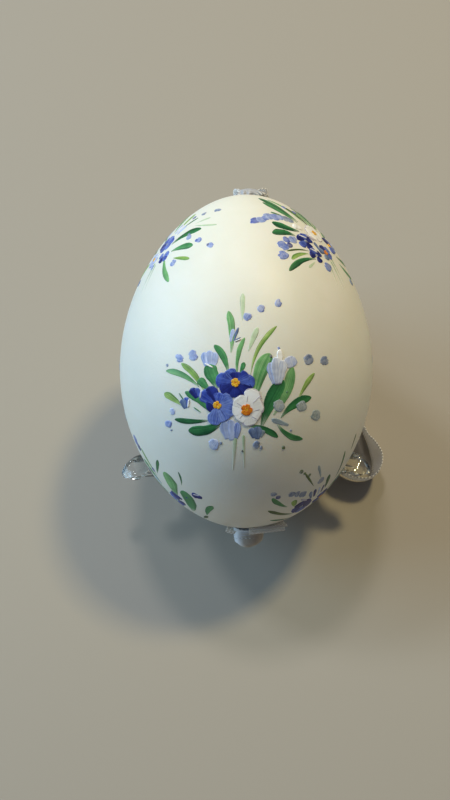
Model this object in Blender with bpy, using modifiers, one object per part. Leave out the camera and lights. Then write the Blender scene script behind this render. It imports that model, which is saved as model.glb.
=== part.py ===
"""A blown and painted hen's egg that leans back on a small clear stand, with a ribbon
threaded through its two pierced ends.

Metres, +Z up. The front is -Y, and the egg's pointed end leans away from it, to +Y.
The origin is on the table, under the middle of the egg and the stand.
"""

import math

import bmesh
import bpy
from mathutils import Matrix, Vector
from mathutils.geometry import interpolate_bezier

MM = 0.001

# The egg: its long axis leans back from the front, pointed end up
EGG_HALF_LENGTH = 29.8 * MM
EGG_RADIUS = 22.55 * MM
EGG_TAPER = 0.05
EGG_FULLNESS = -0.065
SHELL_WALL = 0.5 * MM
HOLE_RADIUS = 2.2 * MM
EGG_LEAN = math.radians(32)
EGG_CENTRE_HEIGHT = 29.7 * MM
EGG_BEHIND_STAND_AXIS = 3.4 * MM
EGG_RINGS = 20
EGG_STEPS = 48

# The stand: a low ring with three petals that rise and flare outwards
RING_OUTER = 12.4 * MM
RING_INNER = 7.8 * MM
RING_HEIGHT = 2.6 * MM
RING_EDGE = 0.7 * MM
RING_STEPS = 48
PETAL_SIDE = [(10.2, 1.7), (16.4, 3.6), (19.4, 16.8), (24.8, 12.4)]
PETAL_ROOT_HALF_WIDTH = 2.7 * MM
PETAL_TIP_HALF_WIDTH = 1.7 * MM
PETAL_ROUND_FROM = 0.86
PETAL_THICKNESS = 1.8 * MM
PETAL_RIDGE = 0.45 * MM
PETAL_RIDGE_AT = 0.75
PETAL_RIDGE_SPREAD = 0.16
PETAL_ROWS = 16
PETAL_COLUMNS = 8
PETAL_ANGLES = [90, 206, 336]

# The ribbon: 6 mm wide, thicker here than the woven one, and gathered in the holes
RIBBON_WIDTH = 6.0 * MM
RIBBON_THICKNESS = 0.4 * MM
ROUTE_STEPS_PER_SPAN = 3
KNOT_SIZE = Vector((5.8, 3.6, 3.4)) * MM
KNOT_AT = -32.75 * MM


def clear_scene():
    for item in list(bpy.data.objects):
        bpy.data.objects.remove(item)


def new_collection(name):
    collection = bpy.data.collections.new(name)
    bpy.context.scene.collection.children.link(collection)
    return collection


def add_material(item, colour, roughness, transmission=0.0):
    material = bpy.data.materials.new(item.name)
    material.use_nodes = True
    shader = material.node_tree.nodes["Principled BSDF"]
    shader.inputs["Base Color"].default_value = (*colour, 1)
    shader.inputs["Roughness"].default_value = roughness
    shader.inputs["Metallic"].default_value = 0
    shader.inputs["Transmission Weight"].default_value = transmission
    item.data.materials.append(material)


def add_object(name, mesh, collection):
    item = bpy.data.objects.new(name, mesh)
    collection.objects.link(item)
    return item


def smooth_shade(mesh):
    mesh.shade_smooth()
    mesh.set_sharp_from_angle(angle=math.radians(40))


def egg_radius_at(share):
    """The egg's radius at a share of its half length, from -1, blunt, to 1, pointed."""
    roundness = math.sqrt(max(0.0, 1 - share * share))
    return EGG_RADIUS * roundness * (1 - EGG_TAPER * share + EGG_FULLNESS * share * share)


def egg_outline(share):
    """A point of the egg's outline, as (radius, distance along the axis)."""
    return Vector((egg_radius_at(share), EGG_HALF_LENGTH * share))


def share_at_hole(sign):
    """The share of the half length, towards one end, where the outline is as wide as the hole."""
    low, high = 0.9, 1.0
    for _ in range(40):
        middle = (low + high) / 2
        if egg_radius_at(sign * middle) > HOLE_RADIUS:
            low = middle
        else:
            high = middle
    return sign * low


def egg_middle_y():
    """How far the leaning egg's middle in Y is from its centre."""
    reach = []
    for step in range(721):
        share = math.cos(math.radians(step / 4))
        along = EGG_HALF_LENGTH * share * math.cos(EGG_LEAN)
        across = egg_radius_at(share) * math.sin(EGG_LEAN)
        reach += [along + across, along - across]
    return (min(reach) + max(reach)) / 2


AXIS = Vector((0, math.cos(EGG_LEAN), math.sin(EGG_LEAN)))
FRONT = Vector((0, -math.sin(EGG_LEAN), math.cos(EGG_LEAN)))
EGG_CENTRE = Vector((0, -egg_middle_y(), EGG_CENTRE_HEIGHT))
STAND_AXIS = Vector((0, EGG_CENTRE.y - EGG_BEHIND_STAND_AXIS, 0))


def eggshell(collection):
    """The shell as a turned wall, from the pointed hole to the blunt hole and back inside."""
    first = math.asin(share_at_hole(1))
    last = math.asin(share_at_hole(-1))
    outer, inner = [], []
    for ring in range(EGG_RINGS + 1):
        angle = first + (last - first) * ring / EGG_RINGS
        here = egg_outline(math.sin(angle))
        tangent = (egg_outline(math.sin(angle - 0.01)) - egg_outline(math.sin(angle + 0.01))).normalized()
        outer.append(here)
        inner.append(here + Vector((tangent.y, -tangent.x)) * SHELL_WALL)
    profile = outer + inner[::-1]
    mesh = bpy.data.meshes.new("eggshell")
    points = [(p.x, 0, p.y) for p in profile]
    edges = [(i, (i + 1) % len(points)) for i in range(len(points))]
    mesh.from_pydata(points, edges, [])
    item = add_object("eggshell", mesh, collection)
    item.location = EGG_CENTRE
    item.rotation_euler.x = EGG_LEAN - math.radians(90)
    turned = item.modifiers.new("turned", "SCREW")
    turned.steps = EGG_STEPS
    turned.render_steps = EGG_STEPS
    turned.use_merge_vertices = True
    turned.merge_threshold = 0.001 * MM
    turned.use_smooth_shade = True
    add_material(item, (0.86, 0.84, 0.77), 0.45)
    return item


def stand_ring(collection):
    """The low ring, flat underneath, that the stand stands on."""
    middle_height = RING_HEIGHT - RING_EDGE
    profile = [
        (RING_OUTER - 2 * RING_EDGE, RING_HEIGHT),
        (RING_OUTER - RING_EDGE / 2, middle_height),
        (RING_OUTER, RING_EDGE),
        (RING_OUTER - RING_EDGE / 2, 0),
        (RING_INNER + RING_EDGE / 2, 0),
        (RING_INNER, RING_EDGE),
        (RING_INNER + RING_EDGE / 2, middle_height),
        (RING_INNER + 2 * RING_EDGE, RING_HEIGHT),
    ]
    mesh = bpy.data.meshes.new("egg_stand")
    points = [(x, 0, z) for x, z in profile]
    edges = [(i, (i + 1) % len(points)) for i in range(len(points))]
    mesh.from_pydata(points, edges, [])
    item = add_object("egg_stand", mesh, collection)
    turned = item.modifiers.new("turned", "SCREW")
    turned.steps = RING_STEPS
    turned.render_steps = RING_STEPS
    turned.use_merge_vertices = True
    turned.merge_threshold = 0.001 * MM
    return item


def petal_half_width(share):
    """Half the petal's width at a share of its length, with a rounded end."""
    width = PETAL_ROOT_HALF_WIDTH + (PETAL_TIP_HALF_WIDTH - PETAL_ROOT_HALF_WIDTH) * share
    past = max(0.0, (share - PETAL_ROUND_FROM) / (1 - PETAL_ROUND_FROM))
    return width * max(0.3, math.sqrt(1 - past * past))


def petal(name, angle, collection):
    """One petal: a flat grid bent along its side profile, with two lengthwise ridges."""
    knots = [Vector((x * MM, z * MM)) for x, z in PETAL_SIDE]
    side = interpolate_bezier(*knots, PETAL_ROWS + 1)
    cage = bmesh.new()
    bmesh.ops.create_grid(cage, x_segments=PETAL_ROWS, y_segments=PETAL_COLUMNS, size=1)
    for vertex in cage.verts:
        row = round((vertex.co.x + 1) / 2 * PETAL_ROWS)
        across = vertex.co.y
        before, after = side[max(row - 1, 0)], side[min(row + 1, PETAL_ROWS)]
        slope = (after - before).normalized()
        ridge = PETAL_RIDGE * math.exp(-(((abs(across) - PETAL_RIDGE_AT) / PETAL_RIDGE_SPREAD) ** 2))
        ridge *= math.sin(math.pi * min(1.0, row / PETAL_ROWS + 0.12) ** 2)
        vertex.co.x = side[row].x - slope.y * ridge
        vertex.co.y = across * petal_half_width(row / PETAL_ROWS)
        vertex.co.z = side[row].y + slope.x * ridge
    mesh = bpy.data.meshes.new(name)
    cage.to_mesh(mesh)
    cage.free()
    item = add_object(name, mesh, collection)
    item.rotation_euler.z = math.radians(angle)
    thick = item.modifiers.new("thick", "SOLIDIFY")
    thick.thickness = PETAL_THICKNESS
    thick.offset = 0
    thick.use_even_offset = True
    item.hide_render = True
    item.display_type = "WIRE"
    return item


def egg_stand(collection, cutters):
    """The ring and its three petals, joined in one moulded piece."""
    item = stand_ring(collection)
    item.location = STAND_AXIS
    for number, angle in enumerate(PETAL_ANGLES):
        part = petal(f"petal_{number}", angle, cutters)
        part.location = STAND_AXIS
        joined = item.modifiers.new(f"joined_{number}", "BOOLEAN")
        joined.operation = "UNION"
        joined.object = part
    add_material(item, (0.92, 0.95, 0.97), 0.08, 1.0)
    return item


def in_egg(along, front, across=0.0):
    """A point given along the egg's axis, towards its front and to the side, in millimetres."""
    return EGG_CENTRE + AXIS * along * MM + FRONT * front * MM + Vector((across * MM, 0, 0))


def ribbon_route():
    """The loop's own points: (place, direction of its width, width in millimetres).

    It leaves the knot at the blunt end, goes through the shell, bends over at the pointed
    hole, hangs down behind, lies in a loop on the table and comes back the same way.
    """
    side = Vector((1, 0, 0))
    up = Vector((0, 0, 1))
    out = [
        (in_egg(-30.5, 0.45), side, 2.8),
        (in_egg(-28.0, 0.5), side, 2.8),
        (in_egg(-22.0, 1.7), side, 4.4),
        (in_egg(-8.0, 2.9), side, 5.4),
        (in_egg(8.0, 2.9), side, 5.4),
        (in_egg(22.0, 1.7), side, 4.4),
        (in_egg(28.2, 0.5), side, 2.8),
        (in_egg(29.9, 0.45), side, 3.0),
        (in_egg(30.9, -0.2, 0.4), side, 4.4),
        (in_egg(31.1, -1.8, 0.9), side, 5.7),
        (in_egg(30.9, -4.6, 1.0), side, 6.0),
        (Vector((0.9, 30.3, 40.0)) * MM, side, 6.0),
        (Vector((0.6, 30.9, 30.0)) * MM, side, 6.0),
        (Vector((0.6, 31.2, 19.0)) * MM, Vector((0.9, 0.45, 0)), 6.0),
        (Vector((2.0, 31.3, 9.5)) * MM, Vector((0.5, 0.85, 0.1)), 6.0),
        (Vector((6.2, 31.0, 4.4)) * MM, Vector((0.1, 0.9, 0.45)), 6.0),
    ]
    table = [
        (Vector((11.5, 29.6, 3.6)) * MM, Vector((0, 0.5, 0.85)), 6.0),
        (Vector((17.0, 26.0, 3.45)) * MM, up, 6.0),
        (Vector((20.9, 19.0, 3.45)) * MM, up, 6.0),
        (Vector((22.6, 11.0, 3.45)) * MM, up, 6.0),
        (Vector((23.4, 4.2, 3.4)) * MM, Vector((-0.1, 0, 1)), 6.0),
        (Vector((24.7, -0.6, 3.35)) * MM, Vector((-0.18, 0, 1)), 6.0),
        (Vector((25.9, -3.5, 3.3)) * MM, Vector((0.05, 0, 1)), 6.0),
        (Vector((26.5, -6.2, 3.3)) * MM, Vector((0.22, -0.05, 1)), 6.0),
        (Vector((26.0, -8.8, 3.3)) * MM, Vector((0.18, -0.2, 1)), 6.0),
        (Vector((24.3, -10.3, 3.3)) * MM, Vector((0.05, -0.4, 1)), 6.0),
        (Vector((21.6, -10.4, 3.3)) * MM, Vector((0, -0.4, 1)), 6.0),
        (Vector((18.8, -9.0, 3.4)) * MM, Vector((-0.1, -0.35, 1)), 6.0),
        (Vector((16.2, -5.6, 3.45)) * MM, up, 6.0),
        (Vector((15.3, 0.0, 3.45)) * MM, up, 6.0),
        (Vector((15.8, 8.0, 3.45)) * MM, up, 6.0),
        (Vector((14.6, 16.0, 3.45)) * MM, up, 6.0),
        (Vector((10.6, 22.6, 3.6)) * MM, Vector((-0.1, 0.35, 0.9)), 6.0),
    ]
    back = [
        (Vector((5.4, 26.6, 4.6)) * MM, Vector((0.1, 0.9, 0.5)), 6.0),
        (Vector((1.6, 28.6, 9.5)) * MM, Vector((0.5, 0.85, 0.1)), 6.0),
        (Vector((0.3, 29.3, 19.0)) * MM, Vector((0.9, 0.45, 0)), 6.0),
        (Vector((0.6, 29.4, 30.0)) * MM, side, 6.0),
        (Vector((0.9, 29.1, 40.0)) * MM, side, 6.0),
        (in_egg(30.3, -4.2, 0.9), side, 6.0),
        (in_egg(30.35, -2.4, 0.8), side, 5.2),
        (in_egg(30.1, -1.0, 0.3), side, 3.3),
        (in_egg(28.9, -0.45), side, 2.8),
        (in_egg(27.4, -0.6), side, 2.8),
        (in_egg(22.0, -1.7), side, 4.4),
        (in_egg(8.0, -2.9), side, 5.4),
        (in_egg(-8.0, -2.9), side, 5.4),
        (in_egg(-22.0, -1.7), side, 4.4),
        (in_egg(-28.0, -0.5), side, 2.8),
        (in_egg(-30.5, -0.45), side, 2.8),
    ]
    return out + table + back


def between(before, start, end, after, share):
    """A point on the smooth curve from start to end, which passes through all four."""
    return 0.5 * (
        2 * start
        + (end - before) * share
        + (2 * before - 5 * start + 4 * end - after) * share**2
        + (3 * start - before - 3 * end + after) * share**3
    )


def smooth_route(route):
    """The route with more points, on a smooth curve through its own."""
    fine = []
    for i in range(len(route) - 1):
        four = [route[min(max(i + k, 0), len(route) - 1)] for k in (-1, 0, 1, 2)]
        for step in range(ROUTE_STEPS_PER_SPAN):
            share = step / ROUTE_STEPS_PER_SPAN
            fine.append(tuple(between(*(point[k] for point in four), share) for k in range(3)))
    fine.append(route[-1])
    return fine


def strip(name, route, collection):
    """A thin closed strip along a route, a loft whose width turns and changes."""
    mesh = bmesh.new()
    rings = []
    for i, (place, across, width) in enumerate(route):
        travel = route[min(i + 1, len(route) - 1)][0] - route[max(i - 1, 0)][0]
        travel.normalize()
        across = (across - travel * across.dot(travel)).normalized()
        face = travel.cross(across)
        corners = [(-1, -1), (1, -1), (1, 1), (-1, 1)]
        ring = [
            mesh.verts.new(place + across * a * width * MM / 2 + face * f * RIBBON_THICKNESS / 2)
            for a, f in corners
        ]
        rings.append(ring)
    for here, after in zip(rings, rings[1:]):
        for k in range(4):
            mesh.faces.new((here[k], here[(k + 1) % 4], after[(k + 1) % 4], after[k]))
    mesh.faces.new(rings[0][::-1])
    mesh.faces.new(rings[-1])
    bmesh.ops.recalc_face_normals(mesh, faces=mesh.faces)
    data = bpy.data.meshes.new(name)
    mesh.to_mesh(data)
    mesh.free()
    item = add_object(name, data, collection)
    add_material(item, (0.85, 0.86, 0.88), 0.35)
    return item


def ribbon_knot(collection):
    """The knot that keeps the ribbon from slipping back through the blunt hole."""
    mesh = bmesh.new()
    bmesh.ops.create_uvsphere(mesh, u_segments=24, v_segments=14, radius=0.5)
    bmesh.ops.scale(mesh, vec=KNOT_SIZE, verts=mesh.verts)
    turn = Matrix.Rotation(EGG_LEAN, 3, "X")
    bmesh.ops.rotate(mesh, cent=(0, 0, 0), matrix=turn, verts=mesh.verts)
    data = bpy.data.meshes.new("ribbon_knot")
    mesh.to_mesh(data)
    mesh.free()
    smooth_shade(data)
    item = add_object("ribbon_knot", data, collection)
    item.location = EGG_CENTRE + AXIS * KNOT_AT
    add_material(item, (0.85, 0.86, 0.88), 0.35)
    return item


def ribbon_tails(collection):
    """The ribbon's two cut ends, which stick out to the sides of the knot."""
    edge_on = (FRONT * -0.99 + AXIS * 0.1).normalized()
    long_tail = [
        (in_egg(-31.3, 0.9, 3.2), edge_on, 6.0),
        (in_egg(-31.0, 0.9, 5.0), edge_on, 6.0),
        (in_egg(-30.6, 0.7, 7.0), edge_on, 6.0),
    ]
    short_tail = [
        (in_egg(-31.4, -0.2, -3.2), edge_on, 4.0),
        (in_egg(-31.0, -0.3, -4.6), edge_on, 4.0),
    ]
    strip("ribbon_tail_long", long_tail, collection)
    strip("ribbon_tail_short", short_tail, collection)


def main():
    clear_scene()
    parts = new_collection("easter_egg_on_stand")
    cutters = new_collection("shapes_to_join")
    eggshell(parts)
    egg_stand(parts, cutters)
    strip("ribbon_loop", smooth_route(ribbon_route()), parts)
    ribbon_knot(parts)
    ribbon_tails(parts)


main()
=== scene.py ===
"""The looks of a blown and painted hen's egg that leans back on a small clear stand,
with a white ribbon threaded through it.

Metres, +Z up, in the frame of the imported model. The front is -Y. Lengths with MM beside
them, and all the brush strokes' sizes, are in millimetres.
"""

import math
import random

import bmesh
import bpy
import numpy as np
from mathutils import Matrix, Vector
from mathutils.geometry import interpolate_bezier


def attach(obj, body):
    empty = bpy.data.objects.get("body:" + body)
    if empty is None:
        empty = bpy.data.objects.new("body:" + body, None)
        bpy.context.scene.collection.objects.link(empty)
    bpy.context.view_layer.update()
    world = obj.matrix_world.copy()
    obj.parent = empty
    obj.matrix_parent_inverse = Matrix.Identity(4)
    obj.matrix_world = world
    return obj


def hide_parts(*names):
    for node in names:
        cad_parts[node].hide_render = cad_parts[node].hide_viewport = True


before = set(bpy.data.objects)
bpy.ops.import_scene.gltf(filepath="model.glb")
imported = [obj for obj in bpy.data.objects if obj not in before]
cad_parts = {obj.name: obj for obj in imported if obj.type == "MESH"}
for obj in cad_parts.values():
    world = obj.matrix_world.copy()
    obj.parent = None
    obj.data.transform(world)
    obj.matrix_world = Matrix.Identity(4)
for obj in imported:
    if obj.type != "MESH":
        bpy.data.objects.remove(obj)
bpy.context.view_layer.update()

MM = 0.001
SIDE = Vector((1, 0, 0))
UP = Vector((0, 0, 1))

# The egg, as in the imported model
EGG_HALF_LENGTH = 29.8
EGG_RADIUS = 22.55
EGG_TAPER = 0.05
EGG_FULLNESS = -0.065
SHELL_WALL = 0.5
HOLE_RADIUS = 2.2
EGG_LEAN = math.radians(32)
SHELL_RINGS = 110
SHELL_STEPS = 160
AXIS = Vector((0, math.cos(EGG_LEAN), math.sin(EGG_LEAN)))
FRONT = Vector((0, -math.sin(EGG_LEAN), math.cos(EGG_LEAN)))
EGG_CENTRE = Vector((0, 0.226, 29.7)) * MM

# The stand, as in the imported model, with more rows and rounded edges
STAND_AXIS = Vector((0, -3.174, 0)) * MM
RING_OUTER = 12.4
RING_INNER = 7.8
RING_HEIGHT = 2.6
RING_ROUNDING = 0.7
PETAL_SIDE = [(10.2, 1.7), (16.4, 3.6), (19.4, 16.8), (24.8, 12.4)]
PETAL_ROOT_HALF_WIDTH = 2.7
PETAL_TIP_HALF_WIDTH = 1.7
PETAL_ROUND_FROM = 0.86
PETAL_THICKNESS = 1.8
PETAL_RIDGE = 0.45
PETAL_RIDGE_AT = 0.75
PETAL_RIDGE_SPREAD = 0.16
PETAL_EDGE_ROUNDING = 0.4
PETAL_ROWS = 44
PETAL_COLUMNS = 24
PETAL_ANGLES = [90, 206, 336]

# The ribbon; the beads are the small loops of thread along its edges
RIBBON_WIDTH = 6.0
RIBBON_STEP = 0.11
RIBBON_COLUMNS = 15
RIBBON_HALF_THICKNESS = 0.05
BEAD_SPACING = 0.6
GATHERED_BELOW = 3.9
RIBBON_FACE_COLOUR = (214, 215, 224)
# Its woven edge as on the loop, and as on the cut ends, which are seen edge on; the ends' warm brown between
# the beads is the thread tinted with painted warm lamp light
LOOP_EDGE = {"from": 0.86, "bead_height": 0.13, "between_beads": (112, 112, 120)}
END_EDGE = {"from": 0.2, "bead_height": 0.1, "between_beads": (158, 134, 96)}

# The camera looks down from the front; its places in the picture are in the photograph's pixels
CAMERA_ELEVATION = math.radians(60)
CAMERA_DISTANCE = 207 * MM
PICTURE_HEIGHT = 800
FOCAL_PIXELS = 1152
EGG_RIGHT_OF_MIDDLE = 21
EGG_ABOVE_MIDDLE = 38
SENSOR = 36

# The colour sockets of a Mix node
MIX_FIRST, MIX_SECOND, MIX_RESULT = 6, 7, 2


def srgb(red, green, blue):
    """A colour given in 0 to 255, as the linear values that shaders take."""
    values = []
    for value in (red, green, blue):
        value /= 255
        values.append(value / 12.92 if value <= 0.04045 else ((value + 0.055) / 1.055) ** 2.4)
    return np.array(values)


SHELL_COLOUR = srgb(238, 235, 222)

# What the paint is mixed from: the stroke's left side, its right side and its streaks
PAINTS = {
    "pale": ((176, 205, 156), (150, 192, 134), (210, 222, 190)),
    "light": ((118, 176, 110), (84, 150, 88), (160, 203, 146)),
    "lime": ((150, 186, 92), (104, 150, 64), (192, 212, 140)),
    "mid": ((70, 140, 84), (92, 160, 100), (44, 112, 68)),
    "dark": ((44, 112, 64), (66, 142, 80), (26, 84, 52)),
    "deep": ((24, 92, 52), (58, 134, 76), (12, 58, 36)),
    "grey": ((146, 164, 176), (128, 150, 158), (176, 188, 200)),
    "stem": ((128, 168, 112), (164, 192, 148), (92, 136, 84)),
    "olive": ((72, 92, 44), (104, 128, 66), (44, 60, 30)),
    "navy": ((24, 32, 112), (44, 60, 152), (12, 16, 74)),
    "blue": ((40, 60, 156), (70, 94, 184), (110, 132, 206)),
    "periwinkle": ((94, 116, 190), (140, 160, 214), (182, 194, 230)),
    "lavender": ((150, 168, 216), (182, 194, 228), (214, 220, 238)),
    "mist": ((196, 206, 228), (222, 226, 236), (160, 172, 206)),
    "slate": ((96, 118, 160), (138, 156, 190), (70, 88, 134)),
    "white": ((251, 250, 245), (255, 254, 250), (240, 237, 238)),
    "shade": ((196, 190, 204), (214, 208, 216), (172, 166, 192)),
    "cornflower": ((74, 96, 180), (100, 124, 200), (150, 168, 222)),
    "yellow": ((244, 190, 40), (228, 150, 20), (250, 214, 90)),
    "orange": ((226, 124, 16), (204, 96, 10), (240, 160, 40)),
    "black": ((28, 36, 34), (44, 56, 50), (14, 20, 20)),
}
TONES = {tone: [srgb(*colour) for colour in colours] for tone, colours in PAINTS.items()}
DARKER_TONE = {"lavender": "periwinkle", "periwinkle": "cornflower", "mist": "lavender"}
POLLEN_TONES = ("yellow", "orange")
HIGHLIGHT_TONES = ("white", "mist", "shade")

# How thick each kind of stroke lies and how uneven its sides are, as a share of its half width
STROKE_THICKNESS = {
    "leaf": 0.021, "stem": 0.02, "petal": 0.024, "ground": 0.012, "dab": 0.018, "centre": 0.13, "line": 0.025,
}
STROKE_RAGGED = {
    "leaf": 0.11, "stem": 0.05, "petal": 0.11, "ground": 0.11, "dab": 0.32, "centre": 0.11, "line": 0.05,
}
STROKE_FIRST_LIFT = 0.01
STROKE_LIFT_STEP = 0.0008
EDGE_UNDER_SHELL = -0.02
ROW_SPACING = 0.15
BRISTLE_SPACING = 0.08
LINE_BELOW_WIDTH = 0.5
SINGLE_DAB_SIZE = 0.4

# The strokes of each bouquet, in millimetres on the egg as seen from straight above the
# bouquet's middle: to the right, and up towards the pointed end.
# Leaves: (tip right, tip up, root right, root up, width, tone, bend as a share of the length)
# Cups, buds and thin lines: (tip right, tip up, root right, root up, width, tone)
# Dabs: (right, up, radius, tone)
# Flowers: (right, up, dab size, dab tone, petals); petals: (tip right, tip up, width, tone)
FRONT_SPRAY = {
    "leaves": [
        (-0.9, 15.2, -1, 10.8, 0.9, "pale", 0), (-3.2, 12.4, -2.8, 5.7, 1.25, "light", 0.05),
        (1.5, 9.8, -0.1, 5.9, 1, "pale", 0), (4.6, 10, 0.3, 2.2, 0.85, "lime", -0.1),
        (-0.6, 8.2, -1.8, 2.2, 0.9, "light", -0.08), (-5.5, 7, -3.3, 2.4, 1.25, "mid", 0.1),
        (-0.7, 4.3, -1.4, 2, 0.8, "mid", 0), (3.4, 5.7, 1, -1.6, 2.5, "light", -0.06),
        (7.1, 3.5, 4, -4.4, 1.75, "light", 0.07), (5.6, 1.4, 2.1, -6.2, 2.4, "dark", -0.04),
        (10.8, 2.3, 8.1, -2, 0.9, "lime", -0.05), (10.3, -1.6, 5.2, -4.9, 1.5, "dark", -0.1),
        (9, -8.7, 4.6, -5.6, 1.05, "mid", 0.13), (4.9, -8.1, -0.2, -6, 1.1, "dark", -0.08),
        (-9.8, -7.3, -4.1, -5.5, 1.9, "deep", -0.09), (-12.1, -5.5, -6.1, -5.2, 1, "deep", -0.05),
        (-10.3, -0.7, -5.8, -4.2, 1.2, "mid", 0.06), (-10.9, 3.9, -7, -0.7, 1.1, "lime", 0.08),
        (-13.5, 2.5, -7.9, 0.1, 1.1, "light", 0.1), (-13.8, -1.2, -10.8, -3.1, 1.2, "lime", 0.04),
        (-6.5, 3.9, -5, 0, 2.4, "mid", 0), (-8.1, 1.5, -6.3, -0.3, 1.5, "mid", 0),
        (-2.5, -13.9, -2.1, -8, 0.75, "stem", 0), (-0.6, -13.5, -0.8, -7.6, 0.6, "stem", 0),
    ],
    "cups": [
        (-7.1, 5.8, -6.7, 3.4, 1.5, "lavender"), (-5.3, 5.8, -5.7, 3.4, 1.5, "lavender"),
        (-6.2, 6.1, -6.2, 3.3, 1.6, "lavender"), (3.5, 4.3, 4.2, 0.7, 1.7, "lavender"),
        (5.5, 4.6, 4.9, 0.7, 1.8, "mist"), (4.4, 5.1, 4.6, 0.6, 1.9, "mist"), (5, 6.3, 5.1, 3, 1, "white"),
        (-3.9, -5.3, -3.4, -8.4, 1.8, "lavender"), (-1.7, -5.5, -2, -8.3, 1.4, "periwinkle"),
        (-2.9, -5, -2.7, -8.6, 1.8, "lavender"), (0.5, -6.4, 1, -8.2, 1.4, "slate"),
        (2.5, -6.7, 2, -8.1, 0.9, "grey"), (1.5, -6.1, 1.5, -8.4, 1.6, "slate"),
        (-9.3, -0.1, -8.2, -1.8, 1.5, "navy"), (-8.4, 0, -7.9, -1.6, 1.1, "blue"),
        (-7.6, -0.4, -7.8, -1.8, 0.35, "mist"), (-10.7, -1.9, -10.2, -3.6, 1.3, "slate"),
        (-10.1, -1.6, -9.9, -3.4, 1.1, "blue"), (-9.6, -1.9, -9.8, -3.4, 0.3, "white"),
        (-2.4, 9.6, -2.9, 7.4, 0.8, "lavender"), (-1.6, 9.8, -2.4, 7.5, 0.5, "slate"),
        (-1.2, 8.2, -2.3, 7.7, 0.22, "slate"), (-1.1, 8, -2.2, 7.5, 0.2, "white"),
        (5.1, 6.1, 4.7, 6.7, 0.4, "periwinkle"), (-2.1, -2.1, -0.9, -2.9, 0.15, "shade"),
        (2, -1, 0.6, -2.4, 0.16, "shade"), (1.9, -3.3, 0.8, -3.6, 0.13, "shade"),
        (1.5, -5, 0.4, -4.4, 0.15, "shade"), (-1.5, -4.9, -0.9, -4.2, 0.14, "shade"),
        (-0.1, -0.9, -0.3, -2.3, 0.14, "shade"), (3.7, -5, 6.6, -6.1, 0.9, "grey"),
        (-7.1, 4, -5.6, 3.3, 0.3, "white"), (-11.3, -1, -10.4, -2.3, 0.22, "deep"),
        (-8.9, -3.2, -7.6, -4.1, 0.2, "deep"),
    ],
    "dabs": [
        (-13.2, 3.4, 0.3, "slate"), (-11.2, 4.6, 0.7, "periwinkle"), (-8.9, 5.2, 0.85, "periwinkle"),
        (-0.1, 11.4, 0.8, "periwinkle"), (2.1, 12.7, 0.7, "periwinkle"), (4.9, 13.6, 0.7, "periwinkle"),
        (6.8, 4.2, 1.05, "lavender"), (9.8, 4.5, 0.95, "slate"), (12.4, 4.2, 0.85, "slate"),
        (-12.4, -4.2, 0.6, "lavender"), (-13.1, -6.4, 0.7, "periwinkle"), (4.9, -2.8, 1.05, "grey"),
        (8.6, -3.1, 1, "grey"), (11.1, -4.7, 1, "grey"), (-5.5, -9.4, 1.05, "lavender"),
        (-4.5, -9.1, 0.3, "slate"), (1.4, -9.3, 0.7, "slate"), (2.1, -9.8, 0.35, "slate"),
        (-12.6, -7.4, 0.2, "slate"), (5.8, -9.9, 0.35, "olive"), (3.6, 5.2, 0.26, "black"),
        (-0.9, -10.4, 0.2, "black"), (6.2, -0.6, 0.2, "deep"), (7, -7, 0.2, "slate"),
    ],
    "flowers": [
        (-2.1, 1, 0.9, "yellow", [
            (-1.9, -1.5, 2.6, "navy"), (-4.4, -0.7, 2.6, "navy"), (-5.3, 1.5, 2.7, "blue"),
            (-3.6, 2.9, 2.8, "blue"), (-2.1, 2.8, 2.3, "navy"), (0.5, -0.3, 2.3, "navy"),
            (1.1, 1.1, 2.4, "blue"), (0.2, 2.1, 2.3, "blue"),
        ]),
        (-5, -2.7, 0.85, "yellow", [
            (-6.9, -2.8, 2.2, "navy"), (-5.5, -6.1, 2.5, "cornflower"), (-3.6, -5.4, 2.6, "cornflower"),
            (-2, -3.6, 2.7, "cornflower"), (-2.6, -1.4, 2.4, "cornflower"), (-4.6, -0.6, 2.4, "blue"),
            (-7.7, -0.7, 2.8, "blue"), (-6.4, 0.3, 2.2, "navy"),
        ]),
        (-0.3, -3.4, 1.2, "orange", [
            (0.4, -6.1, 2.2, "white"), (-1.6, -5.4, 2, "white"), (1.9, -4.7, 2.2, "white"),
            (-2.7, -3.4, 2, "white"), (2.3, -2.3, 2.7, "white"), (1.1, -0.1, 2.7, "white"),
            (-1.9, -1.3, 2.4, "white"),
        ]),
    ],
}
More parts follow.
